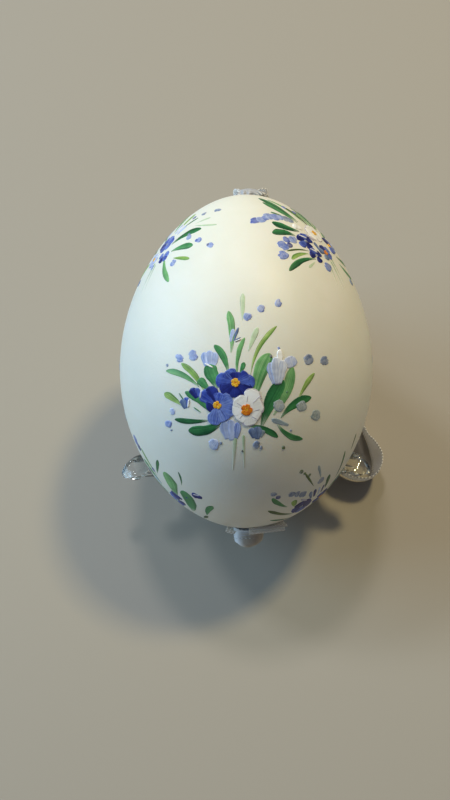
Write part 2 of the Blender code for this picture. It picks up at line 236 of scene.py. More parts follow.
UPPER_RIGHT = {
    "leaves": [
        (-3.2, 12.9, -1.7, 4.9, 1.3, "deep", -0.04), (-4.2, 11.2, -2, 4.7, 1.2, "mid", -0.04),
        (-5.5, 8.1, -4.1, 6.7, 0.5, "deep", 0), (-1.2, 9.6, 0.8, 3.2, 1, "olive", 0.05),
        (-2.2, 12, 0, 4, 0.7, "light", 0.03), (1.6, 9.8, 2.6, 3, 0.9, "deep", 0.04),
        (3.4, 9, 2.4, 2.6, 0.9, "mid", 0), (0.6, 8.4, 1.6, 2.4, 1, "light", 0.05),
        (-7.2, 5.6, -3.4, 2.6, 1.6, "deep", -0.08), (-8.7, 3.4, -5, 1.6, 1.5, "deep", 0.1),
        (-8.6, -0.9, -4, -1.8, 0.45, "olive", 0.05), (-8.6, -2.6, -4.6, -2.3, 0.9, "lime", 0.1),
        (-10, -4.5, -3.6, -3.4, 1.15, "deep", 0.1), (-6.2, -4.8, -4.2, -3.9, 0.5, "pale", 0),
        (0.6, -9.2, 0.3, -3.7, 0.6, "stem", 0), (-0.9, -8.4, -0.6, -4.4, 0.5, "stem", 0),
        (1.6, -8.8, 0.9, -3, 0.5, "stem", 0), (8.4, 4.4, 3.4, 1.6, 1.5, "mid", -0.08),
        (8.8, -2.4, 3.8, -2.2, 1.2, "deep", 0.08), (6.6, 8.2, 2.6, 3.6, 1.2, "light", 0.05),
        (7.4, -5.8, 3.2, -3.6, 1.1, "mid", 0.1),
    ],
    "cups": [
        (-3.9, 4.2, -2.4, 3, 1.3, "white"), (-4.4, 1.8, -2.9, 0.9, 0.3, "white"),
        (-3.9, -1.2, -2.4, -2.2, 0.26, "white"), (-2.6, 2, -1.3, 0.4, 0.4, "shade"),
        (-1.6, 0.2, -1.4, -1.6, 0.9, "slate"),
    ],
    "dabs": [
        (-9.1, 7, 0.85, "blue"), (-8.3, 6.8, 0.8, "periwinkle"), (-7.4, 6.9, 0.7, "cornflower"),
        (-6.6, 7.1, 0.9, "periwinkle"), (-5.7, 6.6, 0.95, "cornflower"), (-4.8, 6.3, 0.85, "periwinkle"),
        (-4.1, 5.9, 0.8, "slate"), (-3.4, 5.4, 0.7, "slate"), (-8.5, 0.3, 1, "cornflower"),
        (-7.5, 0.1, 0.6, "navy"), (-7.2, 1.3, 0.75, "blue"), (-6.1, 1, 0.85, "periwinkle"),
        (-9.6, -1.4, 0.95, "cornflower"), (-1.5, -5, 0.95, "cornflower"), (-1.1, 9.2, 0.5, "blue"),
        (0.2, 7.8, 0.55, "blue"), (7.6, 1.4, 0.8, "lavender"), (9.2, 1, 0.6, "periwinkle"),
        (8.9, 6.4, 0.7, "periwinkle"), (5.6, -6.9, 0.7, "slate"),
    ],
    "flowers": [
        (-3.6, 0.4, 0.3, "slate", [
            (-5, 1.6, 1.7, "navy"), (-3.2, 2.2, 1.5, "blue"), (-2, 0.8, 1.6, "navy"),
            (-3.4, -1.4, 1.5, "navy"), (-5.4, -0.4, 1.6, "blue"),
        ]),
        (-3, -2.7, 0.2, "slate", [
            (-4.6, -2.4, 1.4, "navy"), (-3.6, -1, 1.4, "blue"), (-1.8, -2.2, 1.5, "navy"),
            (-2.8, -4.2, 1.3, "navy"),
        ]),
        (0.4, 2.3, 0.7, "yellow", [
            (-1.6, 3, 1.7, "white"), (-0.2, 4.2, 1.7, "white"), (1.8, 3.8, 1.7, "white"),
            (2.4, 1.9, 1.8, "white"), (1, 0.4, 1.7, "white"), (-1.3, 1, 1.7, "white"),
        ]),
        (0, -2.1, 0.62, "orange", [
            (-1.6, -1.4, 1.4, "slate"), (-0.4, -0.4, 1.5, "navy"), (1.6, -1.2, 1.6, "cornflower"),
            (1.4, -3, 1.5, "blue"), (-0.6, -3.6, 1.4, "slate"),
        ]),
        (3.4, 0, 0.5, "yellow", [
            (4.8, 1.2, 1.7, "blue"), (5.2, -0.8, 1.7, "cornflower"), (3.6, -1.8, 1.6, "blue"),
            (3, 1.9, 1.6, "navy"),
        ]),
    ],
}
UPPER_LEFT = {
    "leaves": [
        (3.2, 7.2, 1.3, 4.4, 0.5, "deep", 0), (6, 7.6, 4, 5.6, 0.5, "pale", 0),
        (8.5, 6.4, 4.2, 5.2, 0.5, "pale", 0.05), (6.5, 4.8, 1.9, 0.7, 1.5, "deep", -0.06),
        (7.6, 1.1, 3.3, -0.8, 1.4, "mid", -0.05), (8.7, -1.5, 5, -2, 0.85, "lime", 0),
        (6.9, -6.4, 2.3, -1.8, 1.1, "light", 0.06), (-0.7, -8.8, -0.2, -3, 0.7, "stem", 0),
        (0.6, -8.2, 0.4, -3.4, 0.45, "stem", 0), (-6.4, 5.2, -2.2, 1.6, 1.6, "mid", 0.06),
        (-8.2, 0.8, -3.2, -0.6, 1.4, "deep", 0.05), (-2.8, 8.6, -0.8, 3.6, 1.2, "light", 0),
        (-6.6, -4.8, -2.4, -2.2, 1.2, "lime", 0.05), (0.6, 8.4, 0.4, 3.8, 0.9, "lime", 0),
    ],
    "cups": [
        (2, 5.2, 1.2, 3, 0.9, "lavender"), (0.4, 5.6, 0.4, 3.2, 0.9, "mist"),
        (-3.6, 4.4, -2.6, 2.6, 1, "lavender"),
    ],
    "dabs": [
        (5.4, 9.6, 0.6, "slate"), (3.4, 8.3, 0.55, "slate"), (1.9, 7.2, 0.5, "slate"),
        (5.4, 2.5, 0.65, "periwinkle"), (5, 3, 0.5, "slate"), (7.9, 2.4, 0.6, "periwinkle"),
        (7.5, 2.2, 0.4, "blue"), (10.5, 2.1, 0.6, "periwinkle"), (10.1, 2, 0.35, "navy"),
        (5.7, -2.9, 0.7, "periwinkle"), (-0.5, -3.9, 0.6, "periwinkle"), (-7.6, 3.4, 0.7, "periwinkle"),
        (-9, 2.2, 0.6, "lavender"), (-5.2, 7.2, 0.6, "periwinkle"), (-5, -6.2, 0.7, "slate"),
    ],
    "flowers": [
        (0, 0.9, 0.45, "slate", [
            (1.6, 1.9, 1.6, "blue"), (0.2, 2.9, 1.6, "cornflower"), (-1.6, 2.2, 1.7, "blue"),
            (-2, 0.4, 1.7, "navy"), (-0.6, -0.9, 1.6, "blue"), (1.4, 0, 1.6, "cornflower"),
        ]),
        (1.7, -1.9, 0.3, "navy", [
            (2.9, -0.9, 1.4, "cornflower"), (3.1, -2.4, 1.3, "blue"), (1.6, -3.2, 1.2, "navy"),
            (0.5, -1.6, 1.3, "cornflower"),
        ]),
        (-1.6, -2.2, 0.5, "yellow", [
            (-3, -1.2, 1.6, "lavender"), (-1.2, -0.8, 1.6, "mist"), (-0.4, -2.6, 1.5, "lavender"),
            (-1.8, -3.9, 1.6, "lavender"), (-3.3, -2.8, 1.5, "mist"),
        ]),
    ],
}
LOWER_LEFT = {
    "leaves": [
        (1.5, 6.6, -1.6, 3.6, 0.9, "dark", 0), (1.9, 4.2, -0.6, -1.6, 3, "light", 0.08),
        (5.4, 4.1, 4, 1.2, 0.5, "deep", 0.08), (3.6, 0, -0.4, -5.8, 2.8, "mid", 0.08),
        (6.6, -4.5, 2.6, -6.9, 1.1, "mid", -0.06), (2.4, -7.2, -0.6, -8.4, 0.7, "olive", 0),
        (-5.4, 5.8, -3.2, 0.8, 1.5, "mid", 0.05), (-7.8, 1.4, -3.6, -1.6, 1.4, "light", 0.05),
        (-6.8, -4.6, -2.8, -3.8, 1.2, "deep", 0), (-3.6, 8.4, -2.4, 3, 0.8, "lime", 0),
    ],
    "cups": [
        (4.7, -0.9, 6.3, -2.2, 1.5, "navy"), (5, -0.9, 6.2, -1.5, 0.35, "shade"),
        (-1.3, -0.4, 0.5, -2.4, 1.5, "navy"), (2.3, -1.6, 3.4, -1.9, 0.5, "navy"),
        (-4.4, 2.6, -3.4, 0.8, 1, "lavender"),
    ],
    "dabs": [
        (-5.3, 9.4, 1.1, "blue"), (-4.8, 8.2, 0.8, "navy"), (-6.5, 2.8, 0.7, "navy"),
        (-2.6, 4.2, 0.5, "navy"), (0.4, 0.4, 0.25, "deep"), (-7.4, -1.8, 0.7, "periwinkle"),
    ],
    "flowers": [
        (-1.6, -2.8, 0.5, "slate", [
            (-0.2, -1.3, 1.5, "navy"), (-2.2, -0.8, 1.6, "blue"), (-3.6, -2.2, 1.6, "cornflower"),
            (-2.8, -4.6, 1.5, "blue"), (-0.4, -4, 1.5, "navy"),
        ]),
    ],
}
LOWER_RIGHT = {
    "leaves": [
        (3.3, 10.8, 3.8, 7.6, 0.5, "olive", 0), (1, 8, 3.4, 1.8, 0.6, "deep", 0.04),
        (7.7, 8.6, 7.4, 7, 0.4, "grey", 0), (7.2, 6.5, 6.8, 4.9, 0.5, "grey", 0),
        (-7.1, 3.3, -3, 0.9, 0.5, "olive", 0), (-5.1, 5.2, -2.5, 2.7, 0.6, "grey", 0),
        (-0.4, 3.4, 1.6, 0.1, 1, "deep", 0), (-9.2, -3.4, -4.7, -4.6, 1, "mid", -0.05),
        (-4.9, -2.7, -3.2, -4.3, 1.2, "lime", 0), (-7.4, -6.5, -0.8, -6.6, 0.9, "olive", -0.03),
        (-4, -9.2, 1.3, -8.6, 0.7, "deep", 0), (6.6, 3.4, 3.6, -0.6, 1.2, "mid", 0),
        (8, -1.2, 4, -2.4, 1.2, "light", 0), (6.8, -5.6, 3, -4.4, 1.2, "deep", 0),
    ],
    "cups": [
        (-2.6, -0.4, -0.6, -2.2, 0.9, "slate"), (-1.8, 0.2, 0, -1.8, 0.8, "navy"),
        (-0.8, 0.7, 0.7, -1.3, 0.5, "mist"), (0.2, 1.1, 1.3, -0.9, 0.6, "navy"),
        (-3.4, -2.4, -1.4, -2.6, 0.6, "shade"),
    ],
    "dabs": [
        (-8, 3.4, 0.45, "olive"), (-7.1, 3.2, 0.3, "olive"), (-5.8, 3.1, 0.4, "olive"),
        (-2.1, 2.2, 0.8, "slate"), (-6.6, -1.5, 0.75, "slate"), (-5.4, -1.2, 0.75, "slate"),
        (-4.1, -1.1, 0.8, "slate"), (-9.5, -2.5, 0.6, "slate"), (-8.4, -2.8, 0.55, "navy"),
        (6.9, 0.8, 0.7, "periwinkle"), (7.6, -3.6, 0.7, "lavender"),
    ],
    "flowers": [
        (-1, -4.4, 0.3, "slate", [
            (-2.8, -3.2, 2.4, "navy"), (-1, -2.2, 2.4, "navy"), (1, -3.4, 2.4, "navy"),
            (0.6, -6, 2.2, "blue"), (-2.2, -6, 2.3, "navy"),
        ]),
        (3.2, -2.4, 0.5, "yellow", [
            (1.8, -1.4, 1.6, "blue"), (3.4, -0.4, 1.6, "navy"), (4.9, -1.8, 1.6, "navy"),
            (4.4, -3.9, 1.6, "blue"), (2.2, -4, 1.6, "navy"),
        ]),
    ],
}


def mirrored(strokes):
    """The same strokes with right and left swapped, for a bouquet that faces the other way."""
    return {
        "leaves": [(-right, up, -root_right, root_up, width, tone, -bend)
                   for right, up, root_right, root_up, width, tone, bend in strokes["leaves"]],
        "cups": [(-right, up, -root_right, *rest) for right, up, root_right, *rest in strokes["cups"]],
        "dabs": [(-right, *rest) for right, *rest in strokes["dabs"]],
        "flowers": [(-right, *rest, [(-tip_right, *tip) for tip_right, *tip in petals])
                    for right, *rest, petals in strokes["flowers"]],
    }


# Bouquets: (name, degrees round the egg from the front, place along the axis, strokes)
BOUQUETS = [
    ("paint_front", 0, -4.25, FRONT_SPRAY),
    ("paint_upper_right", 53.4, 20.3, UPPER_RIGHT),
    ("paint_upper_left", -63.4, 19.6, UPPER_LEFT),
    ("paint_lower_left", -58.6, -22.2, LOWER_LEFT),
    ("paint_lower_right", 56.4, -22.0, LOWER_RIGHT),
    ("paint_back_right", 121, -4.0, mirrored(FRONT_SPRAY)),
    ("paint_back_left", -121, -5.5, FRONT_SPRAY),
    ("paint_upper_back", 176, 19.0, mirrored(UPPER_LEFT)),
    ("paint_lower_back", 180, -22.5, mirrored(LOWER_RIGHT)),
]


def camera():
    """A camera that looks down at the egg from the photograph's side and height."""
    data = bpy.data.cameras.new("camera")
    data.sensor_width = SENSOR
    data.lens = FOCAL_PIXELS / PICTURE_HEIGHT * SENSOR
    data.clip_start = 5 * MM
    item = link("camera", data)
    forward = Vector((0, math.cos(CAMERA_ELEVATION), -math.sin(CAMERA_ELEVATION)))
    upward = Vector((0, math.sin(CAMERA_ELEVATION), math.cos(CAMERA_ELEVATION)))
    aim = forward + SIDE * (EGG_RIGHT_OF_MIDDLE / FOCAL_PIXELS) + upward * (EGG_ABOVE_MIDDLE / FOCAL_PIXELS)
    item.location = EGG_CENTRE - aim * CAMERA_DISTANCE
    item.rotation_euler = (math.pi / 2 - CAMERA_ELEVATION, 0, 0)
    bpy.context.scene.camera = item


def link(name, data):
    item = bpy.data.objects.new(name, data)
    bpy.context.scene.collection.objects.link(item)
    return item


def new_material(name, colour, roughness):
    """A material with one shader; returns the material, its node tree and the shader."""
    material = bpy.data.materials.new(name)
    material.use_nodes = True
    shader = material.node_tree.nodes["Principled BSDF"]
    shader.inputs["Base Color"].default_value = (*colour, 1)
    shader.inputs["Roughness"].default_value = roughness
    return material, material.node_tree, shader


def object_place(tree):
    return tree.nodes.new("ShaderNodeTexCoord").outputs["Object"]


def noise(tree, scale, detail):
    texture = tree.nodes.new("ShaderNodeTexNoise")
    texture.inputs["Scale"].default_value = scale
    texture.inputs["Detail"].default_value = detail
    texture.inputs["Roughness"].default_value = 0.55
    tree.links.new(object_place(tree), texture.inputs["Vector"])
    return texture.outputs["Fac"]


def ramp(tree, value, stops):
    """A colour ramp; stops are (place, linear colour)."""
    node = tree.nodes.new("ShaderNodeValToRGB")
    for element, (place, colour) in zip(node.color_ramp.elements, (stops[0], stops[-1])):
        element.position = place
        element.color = (*colour, 1)
    for place, colour in stops[1:-1]:
        node.color_ramp.elements.new(place).color = (*colour, 1)
    tree.links.new(value, node.inputs["Fac"])
    return node.outputs["Color"]


def math_node(tree, operation, *values):
    node = tree.nodes.new("ShaderNodeMath")
    node.operation = operation
    for socket, value in zip(node.inputs, values):
        if isinstance(value, (int, float)):
            socket.default_value = value
        else:
            tree.links.new(value, socket)
    return node.outputs["Value"]


def bump(tree, shader, height, distance, strength):
    node = tree.nodes.new("ShaderNodeBump")
    node.inputs["Distance"].default_value = distance
    node.inputs["Strength"].default_value = strength
    tree.links.new(height, node.inputs["Height"])
    tree.links.new(node.outputs["Normal"], shader.inputs["Normal"])


def clouded_colours(tree, shader, layer, scale, strength):
    """Colour the shader with a mesh's own colours, with soft light and dark clouds over them."""
    colours = tree.nodes.new("ShaderNodeVertexColor")
    colours.layer_name = layer
    mixed = tree.nodes.new("ShaderNodeMix")
    mixed.data_type = "RGBA"
    mixed.blend_type = "SOFT_LIGHT"
    mixed.inputs["Factor"].default_value = strength
    tree.links.new(colours.outputs["Color"], mixed.inputs[MIX_FIRST])
    tree.links.new(noise(tree, scale, 3), mixed.inputs[MIX_SECOND])
    tree.links.new(mixed.outputs[MIX_RESULT], shader.inputs["Base Color"])


def shell_material():
    """Blown eggshell: warm white and satin, with pores, a fine grain and faint mottling."""
    material, tree, shader = new_material("eggshell", SHELL_COLOUR, 0.46)
    colour = ramp(tree, noise(tree, 180, 4), [
        (0.3, srgb(236, 233, 219)), (0.52, SHELL_COLOUR), (0.72, srgb(240, 237, 226)),
    ])
    tree.links.new(colour, shader.inputs["Base Color"])
    pores = tree.nodes.new("ShaderNodeTexVoronoi")
    pores.inputs["Scale"].default_value = 1300
    tree.links.new(object_place(tree), pores.inputs["Vector"])
    pit = math_node(tree, "MINIMUM", pores.outputs["Distance"], 0.3)
    height = math_node(tree, "ADD", noise(tree, 2600, 2), pit)
    bump(tree, shader, height, 0.035 * MM, 0.5)
    shader.inputs["Subsurface Weight"].default_value = 0.12
    shader.inputs["Subsurface Radius"].default_value = (1.0, 0.7, 0.5)
    shader.inputs["Subsurface Scale"].default_value = 0.9 * MM
    shader.inputs["Specular IOR Level"].default_value = 0.42
    return material


def paint_material():
    """Brushed paint: each stroke's own colours, with fine streaks and a satin shine."""
    material, tree, shader = new_material("brushed_paint", (0.4, 0.5, 0.4), 0.38)
    clouded_colours(tree, shader, "paint", 1900, 0.35)
    bump(tree, shader, noise(tree, 3600, 2), 0.03 * MM, 0.5)
    shader.inputs["Specular IOR Level"].default_value = 0.45
    return material


def clear_material():
    """Clear moulded plastic."""
    material, tree, shader = new_material("clear_plastic", (0.97, 0.985, 0.99), 0.02)
    shader.inputs["Transmission Weight"].default_value = 1.0
    shader.inputs["IOR"].default_value = 1.49
    bump(tree, shader, noise(tree, 520, 3), 0.1 * MM, 0.8)
    return material


def ribbon_material():
    """Narrow woven ribbon: a fine ribbed weave with thicker white edges."""
    material, tree, shader = new_material("ribbon", (0.8, 0.8, 0.84), 0.34)
    clouded_colours(tree, shader, "thread", 2200, 0.4)
    weave = tree.nodes.new("ShaderNodeAttribute")
    weave.attribute_name = "weave"
    split = tree.nodes.new("ShaderNodeSeparateXYZ")
    tree.links.new(weave.outputs["Vector"], split.inputs["Vector"])
    across = math_node(tree, "SINE", math_node(tree, "MULTIPLY", split.outputs["X"], 26.0))
    along = math_node(tree, "SINE", math_node(tree, "MULTIPLY", split.outputs["Y"], 30.0))
    bump(tree, shader, math_node(tree, "MULTIPLY", across, along), 0.03 * MM, 0.55)
    shader.inputs["Subsurface Weight"].default_value = 0.6
    shader.inputs["Subsurface Radius"].default_value = (1.0, 1.0, 1.0)
    shader.inputs["Subsurface Scale"].default_value = 1.5 * MM
    shader.inputs["Sheen Weight"].default_value = 0.25
    shader.inputs["Sheen Roughness"].default_value = 0.35
    shader.inputs["Specular IOR Level"].default_value = 0.7
    return material


def smooth_step(low, high, value):
    share = np.clip((value - low) / (high - low), 0, 1)
    return share * share * (3 - 2 * share)


def blend(first, second, share):
    return first * (1 - share) + second * share


def unit(vectors):
    return vectors / np.linalg.norm(vectors, axis=1, keepdims=True)


def grid_faces(rows, columns, wrap_rows=False, wrap_columns=False, start=0):
    """Quads of a grid of points numbered row by row."""
    row = np.arange(rows if wrap_rows else rows - 1)
    column = np.arange(columns if wrap_columns else columns - 1)
    row, column = (part.ravel() for part in np.meshgrid(row, column, indexing="ij"))
    next_row = (row + 1) % rows
    next_column = (column + 1) % columns
    corners = (row * columns + column, row * columns + next_column,
               next_row * columns + next_column, next_row * columns + column)
    return np.stack(corners, axis=1) + start


def mesh_from(name, points, faces, material):
    mesh = bpy.data.meshes.new(name)
    mesh.from_pydata(points.tolist(), [], faces)
    mesh.validate()
    mesh.shade_smooth()
    mesh.materials.append(material)
    return mesh


def vertex_colours(mesh, name, colours):
    layer = mesh.color_attributes.new(name, "FLOAT_COLOR", "POINT")
    full = np.ones((len(colours), 4), dtype=np.float32)
    full[:, :3] = colours
    layer.data.foreach_set("color", full.ravel())


def egg_radius_at(share):
    """The egg's radius at a share of its half length, from -1, blunt, to 1, pointed."""
    share = np.clip(share, -1, 1)
    roundness = np.sqrt(1 - share * share)
    return EGG_RADIUS * roundness * (1 - EGG_TAPER * share + EGG_FULLNESS * share * share)


def egg_slope_at(share):
    """How much the egg's radius grows for each step along its axis, at a share of its half length."""
    step = 0.001
    return (egg_radius_at(share + step) - egg_radius_at(share - step)) / (2 * step * EGG_HALF_LENGTH)


def share_at_hole(sign):
    """The share of the half length, towards one end, where the outline is as wide as the hole."""
    shares = sign * np.linspace(0.9, 1.0, 20001)
    return shares[np.argmin(np.abs(egg_radius_at(shares) - HOLE_RADIUS))]


def on_egg(rho, along, turn):
    """Points at a distance from the egg's axis, along it and turned round it from the front."""
    rho, along, turn = np.broadcast_arrays(rho, along, turn)
    front = np.cos(turn)[..., None] * np.array(FRONT) + np.sin(turn)[..., None] * np.array(SIDE)
    return np.array(EGG_CENTRE) + (np.array(AXIS) * along[..., None] + front * rho[..., None]) * MM


def eggshell():
    """The shell: its outside, its two holes with their broken-smooth rims, and its inside."""
    first = math.asin(share_at_hole(1))
    last = math.asin(share_at_hole(-1))
    angles = np.linspace(first, last, SHELL_RINGS)
    shares = np.sin(angles)
    outer_rho, outer_along = egg_radius_at(shares), EGG_HALF_LENGTH * shares
    slope_rho = np.gradient(outer_rho, angles)
    slope_along = np.gradient(outer_along, angles)
    length = np.hypot(slope_rho, slope_along)
    inner_rho = outer_rho - slope_along / length * SHELL_WALL
    inner_along = outer_along + slope_rho / length * SHELL_WALL
    rho = np.concatenate([outer_rho, inner_rho[::-1]])
    along = np.concatenate([outer_along, inner_along[::-1]])
    turns = np.linspace(0, 2 * math.pi, SHELL_STEPS, endpoint=False)
    points = on_egg(rho[:, None], along[:, None], turns[None, :]).reshape(-1, 3)
    faces = grid_faces(len(rho), SHELL_STEPS, wrap_rows=True, wrap_columns=True)
    item = link("painted_shell", mesh_from("painted_shell", points, faces.tolist(), shell_material()))
    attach(item, "root")
    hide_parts("eggshell")


def bouquet_frame(turn, along):
    """The middle of a bouquet on the shell, its directions right and up, and straight out."""
    turn = math.radians(turn)
    share = along / EGG_HALF_LENGTH
    slope = egg_slope_at(share)
    radial = np.array(FRONT) * math.cos(turn) + np.array(SIDE) * math.sin(turn)
    right = np.array(SIDE) * math.cos(turn) - np.array(FRONT) * math.sin(turn)
    outward = (radial - np.array(AXIS) * slope) / math.hypot(1, slope)
    upward = (np.array(AXIS) + radial * slope) / math.hypot(1, slope)
    middle = np.array(AXIS) * along + radial * egg_radius_at(share)
    return middle, right, upward, outward


def on_shell(place, right, up, lift):
    """Points on the shell under a bouquet's plane, lifted off the surface, in metres."""
    middle, to_right, upward, outward = place
    start = middle + right[:, None] * to_right + up[:, None] * upward
    axis = np.array(AXIS)
    depth = np.zeros(len(start))
    nearest_end = 0.985
    for _ in range(24):
        here = start + depth[:, None] * outward
        along = here @ axis
        radial = here - along[:, None] * axis
        rho = np.linalg.norm(radial, axis=1)
        radial /= rho[:, None]
        share = np.clip(along / EGG_HALF_LENGTH, -nearest_end, nearest_end)
        slope = egg_slope_at(share)
        normal = (radial - slope[:, None] * axis) / np.hypot(1, slope)[:, None]
        gap = (rho - egg_radius_at(share)) / np.hypot(1, slope)
        depth -= gap / np.maximum(0.3, normal @ outward)
    here = here + normal * lift[:, None]
    return np.array(EGG_CENTRE) + here * MM


def stroke_widths(shape, along):
    """A stroke's width along its length, from its tip, 0, to its root, 1."""
    if shape == "leaf":
        tip = np.sin(np.minimum(1, along / 0.24) * math.pi / 2) ** 0.62
        return tip * (1 - 0.86 * np.maximum(0, (along - 0.3) / 0.7) ** 1.5)
    if shape == "stem":
        return (0.22 + 0.78 * along ** 0.8) * np.sqrt(np.minimum(1, (1 - along) / 0.06 + 0.02))
    if shape in ("petal", "ground"):
        tip = np.sin(np.minimum(1, along / 0.34) * math.pi / 2) ** 0.55
        return tip * (1 - 0.6 * np.maximum(0, (along - 0.34) / 0.66) ** 1.2)
    if shape == "line":
        return np.sin(np.clip(along, 0.01, 0.99) * math.pi) ** 0.5
    return np.sqrt(np.maximum(0.0004, 1 - (2 * along - 1) ** 2))


def wander(dice, count, steps):
    """Smooth random values from -1 to 1, one for each of count places."""
    knots = np.array([dice.uniform(-1, 1) for _ in range(steps)])
    return np.interp(np.linspace(0, steps - 1, count), np.arange(steps), knots)


def stroke_colours(dice, shape, tone, width, along, across, bristles):
    """A stroke's colours: two tones side by side, streaks, and what its own shape adds."""
    rows, columns = bristles.shape

    def down(steps):
        return wander(dice, rows, steps)[:, None]

    light, dark, streak = TONES[tone]
    colour = blend(light, dark, smooth_step(-0.75, 0.75, across + 0.35 * down(5))[..., None])
    colour = blend(colour, streak, np.clip(0.62 * bristles + 0.1, 0, 1)[..., None])
    colour = colour * (1 + 0.16 * down(9)[..., None])
    if shape == "leaf" and width > 0.6:
        side = dice.choice((-1, 1))
        shadow = smooth_step(0.5, 0.8, across * side) * (0.75 + 0.25 * down(6))
        colour = colour * (1 - 0.42 * shadow[..., None])
    if shape == "petal":
        fine = wander(dice, columns, columns)[None, :] * np.clip(0.35 + down(5), 0, 1)
        colour = colour * (1 + (0.04 if tone in ("white", "shade") else 0.3) * fine[..., None])
        inner = smooth_step(0.45, 1.0, along)[..., None] * 0.45
        colour = blend(colour, streak * 0.6 + light * 0.4, inner)
    if shape == "dab":
        blot = np.clip(0.35 + 0.8 * down(6) * wander(dice, columns, 5)[None, :] + 0.3 * down(5), 0, 0.85)
        pale = SHELL_COLOUR if tone in ("grey", "slate") else TONES["mist"][1]
        colour = blend(colour, pale, 0.45 * blot[..., None])
    if shape in ("leaf", "stem", "line"):
        dry = smooth_step(0.7, 1.05, along) * np.clip(0.5 + 0.8 * bristles, 0, 1)
        if tone in ("pale", "stem"):
            dry = np.clip(dry + 0.28, 0, 0.8)
        if shape == "stem":
            dry = np.clip(0.25 + 0.65 * (1 - along) + 0.2 * bristles, 0, 0.85)
        colour = blend(colour, SHELL_COLOUR, dry[..., None])
    return np.clip(colour, 0, 1)


def brush_stroke(canvas, tip, root, width, tone, bend, shape):
    """One brush stroke as a thin raised skin that follows the shell, with bristle streaks."""
    dice = canvas["dice"]
    tip, root = np.array(tip, dtype=float), np.array(root, dtype=float)
    length = np.linalg.norm(root - tip)
    travel = (root - tip) / length
    sideways = np.array([-travel[1], travel[0]])
    rows = int(np.clip(length / ROW_SPACING, 9, 60))
    columns = int(np.clip(width / BRISTLE_SPACING, 7, 33))
    along = np.linspace(0, 1, rows)[:, None]
    across = np.linspace(-1, 1, columns)[None, :]
    left = 1 + STROKE_RAGGED[shape] * wander(dice, rows, 7)[:, None]
    right = 1 + STROKE_RAGGED[shape] * wander(dice, rows, 7)[:, None]
    offset = across * (width / 2 * stroke_widths(shape, along)) * np.where(across < 0, left, right)
    line = tip + along * (root - tip) + sideways * (bend * length * 4 * along * (1 - along))
    flat = line[:, None, :] + offset[..., None] * sideways
    bristles = wander(dice, columns, columns)[None, :] * np.ones((rows, 1))
    bristles = bristles + 0.45 * wander(dice, rows, 6)[:, None] * wander(dice, columns, columns)[None, :]
    bristles = np.clip(bristles, -1, 1)
    body = STROKE_THICKNESS[shape] * min(1.0, 0.45 + width / 2.4)
    body = body * (1 - 0.3 * np.abs(across) ** 3) * (1 + 0.08 * bristles)
    if shape in ("leaf", "petal", "stem"):
        body = body * (1.15 - 0.6 * along)
    edge = (np.abs(across) > 0.999) | (along < 0.001) | (along > 0.999)
    height = np.where(edge, EDGE_UNDER_SHELL, canvas["lift"] + body)
    colours = stroke_colours(dice, shape, tone, width, along, across, bristles)
    points = on_shell(canvas["place"], flat[..., 0].ravel(), flat[..., 1].ravel(), height.ravel())
    canvas["faces"].append(grid_faces(rows, columns, start=canvas["count"]))
    canvas["points"].append(points)
    canvas["colours"].append(colours.reshape(-1, 3))
    canvas["count"] += rows * columns
    canvas["lift"] += STROKE_LIFT_STEP


def leaf(canvas, right, up, root_right, root_up, width, tone, bend):
    shape = "stem" if tone == "stem" else "leaf"
    brush_stroke(canvas, (right, up), (root_right, root_up), width, tone, bend, shape)


def cup(canvas, right, up, root_right, root_up, width, tone):
    """A cup or a bud pressed in one go, or a thin line."""
    shape = "line" if width < LINE_BELOW_WIDTH else "petal"
    brush_stroke(canvas, (right, up), (root_right, root_up), width, tone, 0, shape)


def dab(canvas, right, up, size, tone):
    """A few short presses of the brush, one of them darker, that make an uneven blossom."""
    dice = canvas["dice"]
    middle = np.array([right, up])
    touches = [(tone, 1.0)]
    if size > SINGLE_DAB_SIZE:
        touches += [(DARKER_TONE.get(tone, tone), 0.62), (tone, 0.72)]
    for number, (touch, share) in enumerate(touches):
        angle = math.pi / 2 + dice.uniform(-0.7, 0.7)
        reach = np.array([math.cos(angle), math.sin(angle)]) * size * share * dice.uniform(0.85, 1.1)
        shift = np.array([dice.uniform(-0.45, 0.45), dice.uniform(-0.35, 0.35)]) * size * min(number, 1)
        brush_stroke(canvas, middle + shift - reach, middle + shift + reach, size * share * 1.6, touch,
                     dice.uniform(-0.12, 0.12), "dab")


def flower(canvas, right, up, dab_size, dab_tone, petals):
    """Petals brushed in to the middle, white ones over a shaded ground, and a dab or thick pollen."""
    dice = canvas["dice"]
    centre = np.array([right, up], dtype=float)
    for tip_right, tip_up, width, tone in petals:
        tip = np.array([tip_right, tip_up])
        root = centre + (tip - centre) * 0.12
        if petals[0][-1] == "white":
            outline = tip + (tip - centre) * 0.03
            brush_stroke(canvas, outline, root, width * 1.08, "shade", 0, "ground")
        brush_stroke(canvas, tip, root, width, tone, dice.uniform(-0.06, 0.06), "petal")
    if dab_tone not in POLLEN_TONES:
        reach = np.array([dab_size, 0])
        brush_stroke(canvas, centre - reach, centre + reach, dab_size * 1.6, dab_tone, 0, "dab")
        return
    for turn in range(5):
        angle = turn * 2 * math.pi / 5 + dice.uniform(-0.3, 0.3)
        reach = np.array([math.cos(angle), math.sin(angle)]) * dab_size * 0.45
        size = dab_size * dice.uniform(0.5, 0.62)
        brush_stroke(canvas, centre + reach * 0.1, centre + reach * 1.9, size * 1.6, dab_tone, 0, "centre")
    middle_tone = "yellow" if dab_tone == "orange" else "orange"
    reach = np.array([0, dab_size * 0.42])
    brush_stroke(canvas, centre - reach, centre + reach, dab_size * 0.8, middle_tone, 0, "centre")


